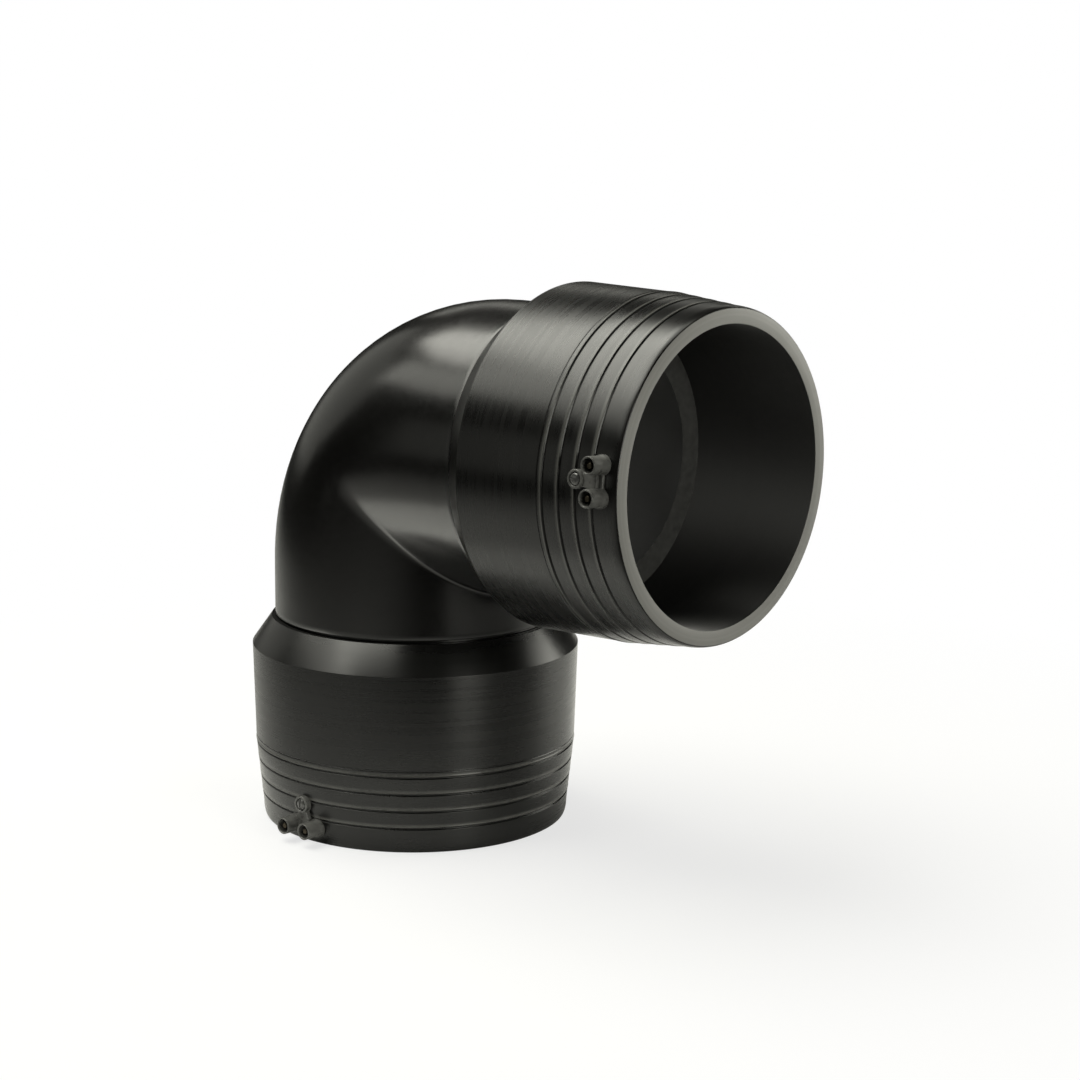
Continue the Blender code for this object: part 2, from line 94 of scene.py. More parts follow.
def length(name, default, description, high=1.0):
    """A length setting in metres."""
    return FloatProperty(name=name, description=description, default=default, min=0.0, max=high,
                         precision=5, unit="LENGTH", subtype="DISTANCE")


def colour(name, default, description):
    """A colour setting."""
    return FloatVectorProperty(name=name, description=description, default=default, size=3,
                               min=0.0, max=1.0, subtype="COLOR")


def share(name, default, description):
    """A setting from none to full."""
    return FloatProperty(name=name, description=description, default=default, min=0.0, max=1.0,
                         subtype="FACTOR")


def brightness(name, default, description):
    """A lamp's brightness, of which 1 is white."""
    return FloatProperty(name=name, description=description, default=default, min=0.0)


class ElbowBendSettings(bpy.types.PropertyGroup):
    """Sizes and finish of the moulded bend."""
    spigot_radius: length("Spigot Radius", 0.1000, "Outside radius of the spigots")
    wall: length("Wall", 0.0182, "Wall thickness of the spigots")
    weld: length("Weld", 0.0007, "Thickness of the weld that fills the gap to each socket")
    body_gap: length("Body Gap", 0.0020, "Gap between the body's step and each socket")
    body_edge: length("Body Edge", 0.0005, "Rounding of the body's step")
    heel_radius: length("Heel Radius", 0.0920, "Radius of the heel's centre line")
    throat_fillet: length("Throat Fillet", 0.0030, "How far the fold at the throat is filled")
    cheek_blend: length("Cheek Blend", 0.0120, "How softly the legs run into the heel")
    end_chamfer: length("End Chamfer", 0.0012, "Chamfer on each spigot's end")
    facets: IntProperty(name="Facets", description="Facets round the bend", default=160, min=24)
    plastic: colour("Plastic", (0.0025, 0.0025, 0.0023), "Colour of the moulded polyethylene")
    cut_end: colour("Cut End", (0.0480, 0.0480, 0.0470), "Colour of the spigots' cut ends")
    # Painted light: the duct's wall is a pale copy of the moulded plastic, standing in for the
    # light that reaches inside the bend.
    duct: colour("Duct", (0.1400, 0.1400, 0.1420), "Colour of the duct's wall")
    roughness: share("Roughness", 0.23, "Roughness of the moulded skin")
    cut_roughness: share("Cut Roughness", 0.45, "Roughness of the spigots' cut ends")
    duct_roughness: share("Duct Roughness", 0.42, "Roughness of the duct's wall")


class ElbowSocketSettings(bpy.types.PropertyGroup):
    """Sizes and finish of the turned sockets."""
    bore_radius: length("Bore Radius", 0.1006, "Radius of the bore that takes the pipe")
    rear_lip_radius: length("Rear Lip Radius", 0.1055, "Outside radius of the rear lip")
    rear_lip_chamfer: length("Rear Lip Chamfer", 0.0014, "Chamfer in the rear of the bore")
    rear_chamfer: length("Rear Chamfer", 0.0202, "Length of the rear chamfer")
    shoulder_radius: length("Shoulder Radius", 0.11968, "Radius at the foot of the rear chamfer")
    bead_radius: length("Bead Radius", 0.1176, "Radius at the rearmost groove")
    edge_radius: length("Edge Radius", 0.1127, "Radius where the mouth edge starts to round")
    face_radius: length("Face Radius", 0.1106, "Outside radius of the flat mouth face")
    edge_length: length("Edge Length", 0.0095, "Length of the rounded mouth edge")
    first_groove: length("First Groove", 0.0179, "Distance of the first groove from the mouth")
    groove_pitch: length("Groove Pitch", 0.0127, "Distance between the grooves")
    groove_width: length("Groove Width", 0.0022, "Width of each groove")
    groove_depth: length("Groove Depth", 0.0009, "Depth of each groove")
    groove_swell: length("Groove Swell", 0.00030, "Height of the bead beside each groove")
    bead_width: length("Bead Width", 0.0046, "Distance from the last groove to the shallow one")
    facets: IntProperty(name="Facets", description="Facets round a socket", default=224, min=24)
    plastic: colour("Plastic", (0.0030, 0.0030, 0.0028), "Colour of the turned polyethylene")
    # Painted highlight: a pale colour on the edge above each groove, standing in for the light
    # that edge catches.
    groove_highlight: colour("Groove Highlight", (0.0800, 0.0800, 0.0750), "Colour of the burnished edge over each groove")
    cut_face: colour("Cut Face", (0.2300, 0.2280, 0.2190), "Colour of the machined mouth face")
    bore: colour("Bore", (0.0028, 0.0028, 0.0027), "Colour of the scraped bore")
    roughness: share("Roughness", 0.27, "Roughness of the turned skin")
    face_roughness: share("Face Roughness", 0.45, "Roughness of the machined mouth face")
    bore_roughness: share("Bore Roughness", 0.60, "Roughness of the scraped bore")


class ElbowTerminalSettings(bpy.types.PropertyGroup):
    """Sizes and finish of the terminal blocks, contact pins and fusion indicators."""
    from_mouth: length("From Mouth", 0.0118, "Distance of the terminals from the mouth")
    spacing: length("Spacing", 0.0206, "Distance between the two shrouds")
    shroud_height: length("Shroud Height", 0.0138, "Height of the shrouds over the socket")
    shroud_radius: length("Shroud Radius", 0.0059, "Outside radius of a shroud's rim")
    shroud_base: length("Shroud Base", 0.0068, "Outside radius of a shroud's foot")
    shroud_bore: length("Shroud Bore", 0.0047, "Radius of a shroud's bore")
    shroud_depth: length("Shroud Depth", 0.0120, "Depth of a shroud's bore")
    pin_radius: length("Pin Radius", 0.0020, "Radius of a contact pin")
    boss_from_mouth: length("Boss From Mouth", 0.0280, "Distance of the boss from the mouth")
    boss_radius: length("Boss Radius", 0.0062, "Outside radius of the indicator's boss")
    boss_height: length("Boss Height", 0.0044, "Height of the boss over the socket")
    indicator_radius: length("Indicator Radius", 0.0040, "Radius of the fusion indicator")
    upper_turn: FloatProperty(name="Upper Turn", description="Turn of the upper terminals",
                              default=math.radians(5.0), subtype="ANGLE")
    lower_turn: FloatProperty(name="Lower Turn", description="Turn of the lower terminals",
                              default=math.radians(1.0), subtype="ANGLE")
    plastic: colour("Plastic", (0.0850, 0.0850, 0.0810), "Colour of the terminal blocks")
    indicator: colour("Indicator", (0.1100, 0.1100, 0.1080), "Colour of the indicators")
    # Painted shade: the pins are darkened far below brass, standing in for the shade deep in the
    # shroud holes.
    brass: colour("Brass", (0.0550, 0.0470, 0.0340), "Colour of the shade_darkened contact pins")
    wire: colour("Wire", (0.5800, 0.3400, 0.2000), "Colour of the heating wire")
    block_roughness: share("Block Roughness", 0.30, "Roughness of the terminal blocks")
    indicator_roughness: share("Indicator Roughness", 0.14, "Roughness of the indicators")
    pin_roughness: share("Pin Roughness", 0.34, "Roughness of the contact pins")
    wire_roughness: share("Wire Roughness", 0.32, "Roughness of the heating wire")


class ElbowStageSettings(bpy.types.PropertyGroup):
    """The floor, the camera's lens and the strength of the light."""
    floor: colour("Floor", (0.80, 0.80, 0.80), "Colour of the floor")
    lens: FloatProperty(name="Lens", description="Focal length on a 36 mm sensor, in millimetres",
                        default=80.90, min=1.0)
    shadow: share("Shadow", 0.30, "How much of the floor's own light shows to the camera")
    overhead: brightness("Overhead", 5.9, "Brightness of the overhead softbox")
    zenith: brightness("Zenith", 2.3, "Brightness of the softbox straight above")
    back: brightness("Back", 0.41, "Brightness of the dim softbox behind on the left")
    side: brightness("Side", 0.42, "Brightness of the dim softbox at the left side")
    rim: brightness("Rim", 0.76, "Brightness of the strip behind")
    low: brightness("Low", 1.7, "Brightness of the small softbox that lies on the floor")
    left: brightness("Left", 2.4, "Brightness of the left softbox")
    mouth: brightness("Mouth", 7.2, "Brightness of the softbox in front of the upper mouth")
    right: brightness("Right", 4.5, "Brightness of the right softbox")


# Modelling helpers

def mesh_of(shape, name):
    """The mesh of a bmesh, which is used up.

    Corners and faces are numbered by their place, so that every run gives the same mesh. A face
    of four corners starts at one of its own diagonal's ends, so that it is split as before.
    """
    verts = sorted(shape.verts, key=lambda vert: tuple(vert.co))
    rank = {vert: number for number, vert in enumerate(verts)}
    faces = []
    for face in shape.faces:
        ring = [rank[vert] for vert in face.verts]
        starts = (0, 2) if len(ring) == 4 else range(len(ring))
        start = min(starts, key=ring.__getitem__)
        faces.append((ring[start:] + ring[:start], face.material_index))
    ordered = bmesh.new()
    made = [ordered.verts.new(vert.co) for vert in verts]
    for ring, finish in sorted(faces):
        ordered.faces.new([made[number] for number in ring]).material_index = finish
    shape.free()
    mesh = bpy.data.meshes.new(name)
    ordered.to_mesh(mesh)
    ordered.free()
    return mesh


def linked(name, data):
    """A new object in the scene."""
    thing = bpy.data.objects.new(name, data)
    bpy.context.scene.collection.objects.link(thing)
    return thing


def shade(mesh):
    """Smooth a mesh except at its sharp edges."""
    mesh.shade_smooth()
    mesh.set_sharp_from_angle(angle=SHARP_ANGLE)


def fold(shape, name, materials):
    """Turn a bmesh into a finished piece that rides on the elbow."""
    bmesh.ops.remove_doubles(shape, verts=shape.verts, dist=1e-6)
    bmesh.ops.recalc_face_normals(shape, faces=shape.faces)
    mesh = mesh_of(shape, name)
    shade(mesh)
    piece = linked(name, mesh)
    for material in materials:
        mesh.materials.append(material)
    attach(piece, BODY)
    return piece


def socket_frame(upper, turn=0.0):
    """The frame of a socket: its mouth lies on Z = 0 and its wall runs up along +Z."""
    if upper:
        mouth = CORNER + Vector((MOUTH_TO_CORNER, 0, 0))
        stand = Matrix.Rotation(-math.pi / 2, 4, "Y")
    else:
        mouth = CORNER - Vector((0, 0, MOUTH_TO_CORNER))
        stand = Matrix.Identity(4)
    return Matrix.Translation(mouth) @ stand @ Matrix.Rotation(turn, 4, "Z")


def terminal_frame(upper, x, height):
    """The frame of a part on a socket's terminal side: +Z points out of the socket."""
    terminals = bpy.context.scene.elbow_terminals
    turn = terminals.upper_turn if upper else terminals.lower_turn
    return (socket_frame(upper, turn) @ Matrix.Translation((x, 0, height))
            @ Matrix.Rotation(math.pi / 2, 4, "X"))


def rounded(points, radius, steps=4):
    """The points of a line with every inner corner turned into a small arc."""
    out = [Vector(points[0])]
    for before, corner, after in zip(points, points[1:], points[2:]):
        before, corner, after = Vector(before), Vector(corner), Vector(after)
        back, on = (before - corner), (after - corner)
        opening = back.angle(on)
        cut = min(radius / math.tan(opening / 2), back.length * 0.45, on.length * 0.45)
        first, last = corner + back.normalized() * cut, corner + on.normalized() * cut
        for step in range(steps + 1):
            t = step / steps
            out.append(first * (1 - t) ** 2 + corner * 2 * t * (1 - t) + last * t ** 2)
    return out + [Vector(points[-1])]


def spun(shape, profile, steps, place, closed=False):
    """Spin a line of (radius, height) points about Z, then put the result in its place."""
    old = set(shape.verts)
    line = [shape.verts.new((radius, 0, height)) for radius, height in profile]
    edges = [shape.edges.new(pair) for pair in zip(line, line[1:])]
    if closed:
        edges.append(shape.edges.new((line[-1], line[0])))
    bmesh.ops.spin(shape, geom=line + edges, cent=(0, 0, 0), axis=(0, 0, 1),
                   angle=math.tau, steps=steps, use_merge=True)
    new = [v for v in shape.verts if v not in old]
    bmesh.ops.remove_doubles(shape, verts=new, dist=1e-6)
    new = [v for v in shape.verts if v.is_valid and v not in old]
    bmesh.ops.transform(shape, matrix=place, verts=new)
    return new


# Material helpers

def node(tree, kind, inputs=(), **settings):
    """Add a shader node, give its inputs numbers or links, and return it."""
    made = tree.nodes.new("ShaderNode" + kind)
    for name, value in settings.items():
        setattr(made, name, value)
    for key, value in dict(inputs).items():
        if isinstance(value, bpy.types.NodeSocket):
            tree.links.new(value, made.inputs[key])
        else:
            made.inputs[key].default_value = value
    return made


def calc(tree, operation, first, second):
    """A number made from two others."""
    return node(tree, "Math", {0: first, 1: second}, operation=operation).outputs["Value"]


def ramp(tree, factor, low, high, start=0.0, end=1.0):
    """A colour that goes from low to high as the factor goes from start to end."""
    made = node(tree, "ValToRGB", {"Fac": factor})
    stops = made.color_ramp.elements
    stops[0].position, stops[1].position = start, end
    stops[0].color, stops[1].color = (*low, 1.0), (*high, 1.0)
    return made.outputs["Color"]


def spread(tree, value, low, high, start=0.0, end=1.0):
    """A number that goes from low to high as the value goes from start to end."""
    return node(tree, "MapRange", {"Value": value, "From Min": start, "From Max": end,
                                   "To Min": low, "To Max": high}).outputs["Result"]


def plastic(name, base, roughness, metallic=0.0, specular=0.5):
    """A new material with its shader's plain values, and its tree."""
    material = bpy.data.materials.new(name)
    material.use_nodes = True
    tree = material.node_tree
    shader = tree.nodes["Principled BSDF"]
    shader.inputs["Base Color"].default_value = (*base, 1.0)
    shader.inputs["Roughness"].default_value = roughness
    shader.inputs["Metallic"].default_value = metallic
    shader.inputs["Specular IOR Level"].default_value = specular
    return material, tree, shader


def moulded_finish(name, base, roughness):
    """Smooth moulded polyethylene: a satin skin with faint waves, clouds and scuffs."""
    material, tree, shader = plastic(name, base, roughness)
    place = node(tree, "TexCoord").outputs["Object"]
    clouds = node(tree, "TexNoise", {"Vector": place, "Scale": 14.0, "Detail": 1.0}).outputs["Fac"]
    grain = node(tree, "TexNoise", {"Vector": place, "Scale": 900.0, "Detail": 1.0}).outputs["Fac"]
    flow = node(tree, "Mapping", {"Vector": place, "Rotation": (0.3, 0.5, 0.2),
                                  "Scale": (60.0, 9.0, 60.0)}).outputs["Vector"]
    scuff = node(tree, "TexNoise", {"Vector": flow, "Scale": 4.0, "Detail": 6.0,
                                    "Roughness": 0.7}).outputs["Fac"]
    tint = ramp(tree, clouds, [c * 0.75 for c in base], [c * 1.35 for c in base], 0.3, 0.7)
    tree.links.new(tint, shader.inputs["Base Color"])
    rough = spread(tree, scuff, roughness - 0.02, roughness + 0.04, 0.35, 0.75)
    tree.links.new(rough, shader.inputs["Roughness"])
    waves = node(tree, "Bump", {"Height": clouds, "Strength": 0.15, "Distance": 0.001})
    skin = node(tree, "Bump", {"Height": grain, "Strength": 0.01, "Distance": 0.0001,
                               "Normal": waves.outputs["Normal"]})
    tree.links.new(skin.outputs["Normal"], shader.inputs["Normal"])
    return material


def painted_highlight(tree, height, settings):
    """Share of painted highlight at a height over the mouth: full on the edge above each groove.
    """
    s = settings
    last = s.first_groove + (GROOVE_COUNT - 0.5) * s.groove_pitch
    turns = node(tree, "MapRange", {"Value": height, "From Min": s.first_groove,
                                    "From Max": s.first_groove + s.groove_pitch}, clamp=False)
    phase = node(tree, "Math", {0: turns.outputs["Result"]}, operation="FRACT").outputs["Value"]
    width = s.groove_width / s.groove_pitch
    rise = spread(tree, phase, 0.0, 1.0, width * 0.35, width * 0.65)
    fall = spread(tree, phase, 1.0, 0.0, width * 0.80, width * 1.75)
    line = calc(tree, "MULTIPLY", rise, fall)
    for reach in (spread(tree, height, 1.0, 0.0, last, last + 0.001),
                  spread(tree, height, 0.0, 1.0, s.first_groove - 0.001, s.first_groove)):
        line = calc(tree, "MULTIPLY", line, reach)
    return line


def tool_direction(tree, place, stand, face):
    """The way across the tool lines: along the socket's axis, or out from it on the mouth."""
    axis = stand.to_3x3() @ Vector((0, 0, 1))
    if not face:
        across = node(tree, "CombineXYZ", {"X": axis.x, "Y": axis.y, "Z": axis.z})
        return across.outputs["Vector"]
    from_mouth = node(tree, "VectorMath", {0: place, 1: stand.translation}, operation="SUBTRACT")
    level = Vector((1, 1, 1)) - Vector(map(abs, axis))
    return node(tree, "VectorMath", {0: from_mouth.outputs["Vector"], 1: level},
                operation="MULTIPLY").outputs["Vector"]


def turned_finish(name, upper, base, roughness, along=TOOL_LINE_SPREAD, face=False, groove_highlight=None,
                  specular=0.5):
    """Turned polyethylene: fine tool lines round the socket's axis spread what it mirrors."""
    material, tree, shader = plastic(name, base, roughness, specular=specular)
    stand = socket_frame(upper)
    place = node(tree, "TexCoord").outputs["Object"]
    local = node(tree, "Mapping", {"Vector": place, "Location": stand.translation,
                                   "Rotation": stand.to_euler()}, vector_type="TEXTURE")
    local = local.outputs["Vector"]
    apart = node(tree, "SeparateXYZ", {"Vector": local})
    flat = node(tree, "CombineXYZ", {"X": apart.outputs["X"], "Y": apart.outputs["Y"]})
    radius = node(tree, "VectorMath", {0: flat.outputs["Vector"]}, operation="LENGTH")
    track = calc(tree, "ADD", apart.outputs["Z"], radius.outputs["Value"])
    lines = node(tree, "TexNoise", {"W": track, "Scale": 1500.0, "Detail": 3.0,
                                    "Roughness": 0.7}, noise_dimensions="1D").outputs["Fac"]
    bands = node(tree, "TexNoise", {"W": track, "Scale": 170.0, "Detail": 4.0,
                                    "Roughness": 0.62}, noise_dimensions="1D").outputs["Fac"]
    clouds = node(tree, "TexNoise", {"Vector": local, "Scale": 26.0, "Detail": 5.0,
                                     "Roughness": 0.6}).outputs["Fac"]
    dark, pale = (0.93, 1.08) if face else (0.72, 1.45)
    tint = ramp(tree, bands, [c * dark for c in base], [c * pale for c in base], 0.3, 0.72)
    # Painted highlight: the edge above each groove is painted pale, in patches through the clouds.
    if groove_highlight:
        edge = painted_highlight(tree, apart.outputs["Z"], groove_highlight)
        patchy_highlight = calc(tree, "MULTIPLY", edge, spread(tree, clouds, 0.55, 1.0, 0.35, 0.6))
        tint = node(tree, "MixRGB", {"Fac": patchy_highlight, "Color1": tint,
                                     "Color2": (*groove_highlight.groove_highlight, 1.0)}).outputs["Color"]
    tree.links.new(tint, shader.inputs["Base Color"])
    mixed = calc(tree, "ADD", bands, clouds)
    rough = spread(tree, mixed, roughness - 0.03, roughness + 0.05, 0.7, 1.3)
    tree.links.new(rough, shader.inputs["Roughness"])
    coarse = node(tree, "Bump", {"Height": bands, "Strength": 0.05 if face else 0.18,
                                 "Distance": TOOL_LINE_DEPTH * 4})
    fine = node(tree, "Bump", {"Height": lines, "Strength": 0.3, "Distance": TOOL_LINE_DEPTH,
                               "Normal": coarse.outputs["Normal"]})
    tree.links.new(fine.outputs["Normal"], shader.inputs["Normal"])
    tree.links.new(tool_direction(tree, place, stand, face), shader.inputs["Tangent"])
    shader.inputs["Anisotropic"].default_value = along
    return material


def fine_finish(name, base, roughness, metallic=0.0, grain=1400.0, depth=0.00004):
    """Small moulded or metal parts: a fine grain with a little wear in the colour."""
    material, tree, shader = plastic(name, base, roughness, metallic)
    place = node(tree, "TexCoord").outputs["Object"]
    wear = node(tree, "TexNoise", {"Vector": place, "Scale": 220.0, "Detail": 5.0}).outputs["Fac"]
    grit = node(tree, "TexNoise", {"Vector": place, "Scale": grain, "Detail": 2.0}).outputs["Fac"]
    tint = ramp(tree, wear, [c * 0.78 for c in base], [min(1.0, c * 1.25) for c in base], 0.3, 0.7)
    tree.links.new(tint, shader.inputs["Base Color"])
    rough = spread(tree, wear, roughness - 0.06, roughness + 0.08, 0.3, 0.7)
    tree.links.new(rough, shader.inputs["Roughness"])
    bump = node(tree, "Bump", {"Height": grit, "Strength": 0.4, "Distance": depth})
    tree.links.new(bump.outputs["Normal"], shader.inputs["Normal"])
    return material


# Bend

def smooth_max(a, b, blend):
    """The greater of two numbers, with the step between them rounded off."""
    near = max(blend - abs(a - b), 0.0) / max(blend, 1e-9)
    return max(a, b) + near * near * blend / 4


def outside(place, radius, settings):
    """How far a place, measured from the corner, lies outside a tube through the bend.

    Two straight legs meet in a fold at the throat, and a round heel cuts off their outer side.
    The cheeks, where they meet, are blended, and the blend fades out toward the straight legs.
    """
    x, y, z = place
    legs = -smooth_max(radius - math.hypot(y, z), radius - math.hypot(x, y),
                       settings.throat_fillet)
    arc = math.hypot(min(x - settings.heel_radius, 0.0), max(z + settings.heel_radius, 0.0))
    heel = math.hypot(max(arc - settings.heel_radius, 0.0), y) - radius
    turned = (min(max(1 - reach / settings.heel_radius, 0.0), 1.0) for reach in (x, -z))
    return smooth_max(legs, heel, settings.cheek_blend * math.prod(turned) ** 2)


def wall_distance(centre, direction, radius, settings):
    """Distance from a point inside the tube to its wall."""
    near, far = 0.0, 3 * radius
    for _ in range(26):
        middle = (near + far) / 2
        if outside(centre + direction * middle, radius, settings) < 0:
            near = middle
        else:
            far = middle
    return near


def leg_ring(distance, radius, lower):
    """A ring square to a leg: its centre, its outward direction and its radius."""
    if lower:
        return Vector((0, 0, -distance)), Vector((-1, 0, 0)), radius
    return Vector((distance, 0, 0)), Vector((0, 0, 1)), radius


def turn_rings(radius, settings):
    """Rings through the bend, in planes that all pass through a pivot under the throat."""
    pivot = BODY_RADIUS + settings.throat_fillet * 4
    quarter = [*range(0, 37, 3), 38.5, 40.5, 42, 43, 43.8, 44.4]
    rings = []
    for degrees in quarter + [45] + [90 - angle for angle in reversed(quarter)]:
        angle = math.radians(degrees)
        out = Vector((-math.sin(angle), 0, math.cos(angle)))
        shift = pivot - settings.heel_radius
        half = shift * (math.sin(angle) + math.cos(angle))
        reach = half + math.sqrt(half ** 2 - 2 * shift ** 2 + settings.heel_radius ** 2)
        rings.append((Vector((pivot, 0, -pivot)) + out * reach, out, radius))
    return rings


def bend_rings(settings):
    """The bend's rings: along the outside from the upper spigot, and back along the duct."""
    s = settings
    body_end = MOUTH_TO_CORNER - SOCKET_LENGTH - s.body_gap
    duct = s.spigot_radius - s.wall
    welded = s.spigot_radius + s.weld
    leg = [(SPIGOT_END, welded - s.end_chamfer), (SPIGOT_END - s.end_chamfer, welded),
           (body_end, welded), (body_end, BODY_RADIUS - s.body_edge),
           (body_end - s.body_edge * 0.3, BODY_RADIUS - s.body_edge * 0.3),
           (body_end - s.body_edge, BODY_RADIUS), (body_end - 0.004, BODY_RADIUS)]
    skin = [leg_ring(distance, radius, False) for distance, radius in leg]
    skin += turn_rings(BODY_RADIUS, s)
    skin += [leg_ring(distance, radius, True) for distance, radius in reversed(leg)]
    inside = [leg_ring(SPIGOT_END, duct, True)]
    inside += reversed(turn_rings(duct, s))
    inside.append(leg_ring(SPIGOT_END, duct, False))
    return skin, inside


def bend_skin(shape, settings):
    """Extrude a ring from each ring of the bend to the next, and close the strip."""
    skin, inside = bend_rings(settings)
    rings = skin + inside
    finishes = [0] * (len(skin) - 1) + [1] + [2] * (len(inside) - 1) + [1]
    verts = bmesh.ops.create_circle(shape, segments=settings.facets, radius=1.0)["verts"]
    loops = [verts]
    edges = list({edge for vert in verts for edge in vert.link_edges})
    for finish in finishes:
        grown = bmesh.ops.extrude_edge_only(shape, edges=edges)["geom"]
        for item in grown:
            if isinstance(item, bmesh.types.BMFace):
                item.material_index = finish
        loops.append([item for item in grown if isinstance(item, bmesh.types.BMVert)])
        edges = [item for item in grown if isinstance(item, bmesh.types.BMEdge)]
    for (centre, out, radius), loop in zip(rings + rings[:1], loops):
        for vert in loop:
            direction = out * vert.co.x + Vector((0, vert.co.y, 0))
            distance = wall_distance(centre, direction, radius, settings)
            vert.co = CORNER + centre + direction * distance


class ELBOW_OT_bend(bpy.types.Operator):
    """Model the moulded bend with its mitred throat, round heel and straight spigots"""
    bl_idname = "elbow.bend"
    bl_label = "Moulded Bend"

    def execute(self, context):
        settings = context.scene.elbow_bend
        shape = bmesh.new()
        bend_skin(shape, settings)
        finishes = [moulded_finish("moulded_polyethylene", settings.plastic,
                                   settings.roughness),
                    fine_finish("cut_end_polyethylene", settings.cut_end,
                                settings.cut_roughness),
                    # Painted light: the duct gets a pale copy of the moulded finish.
                    moulded_finish("duct_painted_light_polyethylene", settings.duct,
                                   settings.duct_roughness)]
        piece = fold(shape, "bend_body", finishes)
        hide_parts("bend")
        return {"FINISHED"}


# Sockets

def socket_profile(settings):
    """The section of a socket: down its outside, across its mouth and up its bore."""
    s = settings
    shoulder = SOCKET_LENGTH - s.rear_chamfer
    last_groove = s.first_groove + (GROOVE_COUNT - 1) * s.groove_pitch

    def surface(height):
        stations = ((s.edge_length, s.edge_radius), (last_groove, s.bead_radius),
                    (shoulder, s.shoulder_radius))
        low, high = stations[:2] if height < last_groove else stations[1:]
        t = (height - low[0]) / (high[0] - low[0])
        return low[1] + t * (high[1] - low[1])

    def groove(height, width, depth):
        crest = surface(height) + depth * s.groove_swell / s.groove_depth
        return [(surface(height + width * 0.95), height + width * 0.95),
                (crest, height + width * 0.72),
                (crest, height + width * 0.45),
                (surface(height) - depth, height + width * 0.12),
                (surface(height) - depth, height - width * 0.12),
                (surface(height - width * 0.4), height - width * 0.4)]

    corners = [(s.rear_lip_radius, SOCKET_LENGTH), (s.shoulder_radius, shoulder)]
    corners += groove(last_groove + s.bead_width, s.groove_width * 0.5, s.groove_depth * 0.25)
    for number in reversed(range(GROOVE_COUNT)):
        corners += groove(s.first_groove + number * s.groove_pitch, s.groove_width,
                          s.groove_depth)
    outside_line = rounded([(s.bore_radius + s.rear_lip_chamfer, SOCKET_LENGTH)] + corners
                           + [(s.edge_radius, s.edge_length)], 0.0003, 3)
    drop = s.edge_radius - s.face_radius
    crown = [(s.face_radius + drop * math.sin(angle), s.edge_length * (1 - math.cos(angle)))
             for angle in (math.radians(a) for a in range(75, 5, -10))]
    mouth = rounded([(s.face_radius, 0), (s.bore_radius, 0), (s.bore_radius, 0.01)], 0.0006, 3)
    mouth[-1] = Vector((s.bore_radius, SOCKET_LENGTH - s.rear_lip_chamfer))
    return outside_line + crown + mouth


def mark_socket_faces(shape, stand, bore_radius):
    """Give the mouth's ring the second finish and the bore the third."""
    axis = stand.to_3x3() @ Vector((0, 0, 1))
    for face in shape.faces:
        offset = face.calc_center_median() - stand.translation
        along = offset.dot(axis)
        if along < 0.00005:
            face.material_index = 1
        elif (offset - axis * along).length < bore_radius + 0.0001:
            face.material_index = 2


class ELBOW_OT_sockets(bpy.types.Operator):
    """Turn the two sockets with their grooves, beads and machined mouth faces"""
    bl_idname = "elbow.sockets"
    bl_label = "Turned Sockets"

    def execute(self, context):
        s = context.scene.elbow_sockets
        for end, upper in ENDS:
            stand = socket_frame(upper)
            shape = bmesh.new()
            spun(shape, socket_profile(s), s.facets, stand, closed=True)
            mark_socket_faces(shape, stand, s.bore_radius)
            skin = turned_finish(end + "_turned_polyethylene", upper, s.plastic, s.roughness,
                                 groove_highlight=s)
            cut = turned_finish(end + "_machined_face", upper, s.cut_face, s.face_roughness,
                                face=True)
            bore = turned_finish(end + "_scraped_bore", upper, s.bore, s.bore_roughness,
                                 along=0.9, specular=1.0)
            piece = fold(shape, end + "_socket_body", [skin, cut, bore])
            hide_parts(end + "_socket")
        return {"FINISHED"}


# Terminals

SEAT_GAP = 0.0003
SHROUD_SEAT = 0.0037
BOSS_SEAT = 0.0027
CUT_PAST = 0.0040
SMALL_FACETS = 48
PIN_FACETS = 32
PIN_FOOT_RADIUS = 0.0031
PIN_RECESS = 0.0016

def surface_radius(height):
    """Outside radius of a socket near its mouth, grooves left out."""
    s = bpy.context.scene.elbow_sockets
    last_groove = s.first_groove + (GROOVE_COUNT - 1) * s.groove_pitch
    t = (height - s.edge_length) / (last_groove - s.edge_length)
    return s.edge_radius + t * (s.bead_radius - s.edge_radius)


def applied(piece, tools, operation):
    """Join tools to a piece or cut them from it, for good, and remove the tools.

    Corners that the step leaves less than a thousandth of a millimetre apart become one, which
    keeps the piece closed.
    """
    for tool in tools:
        step = piece.modifiers.new(tool.name, "BOOLEAN")
        step.operation = operation
        step.object = tool
        step.solver = "EXACT"
    graph = bpy.context.evaluated_depsgraph_get()
    mesh = bpy.data.meshes.new_from_object(piece.evaluated_get(graph))
    shape = bmesh.new()
    shape.from_mesh(mesh)
    bmesh.ops.remove_doubles(shape, verts=shape.verts, dist=1e-6)
    shape.to_mesh(mesh)
    shape.free()
    piece.modifiers.clear()
    piece.data = mesh
    for tool in tools:
        bpy.data.objects.remove(tool)
    shade(mesh)


def loose(shape, name):
    """Turn a bmesh into a tool object for a cut or a join."""
    bmesh.ops.remove_doubles(shape, verts=shape.verts, dist=1e-7)
    bmesh.ops.recalc_face_normals(shape, faces=shape.faces)
    return linked(name, mesh_of(shape, name))


def turned_tool(name, profile, facets, place):
    """A closed turned tool."""
    shape = bmesh.new()
    spun(shape, profile, facets, place)
    return loose(shape, name)


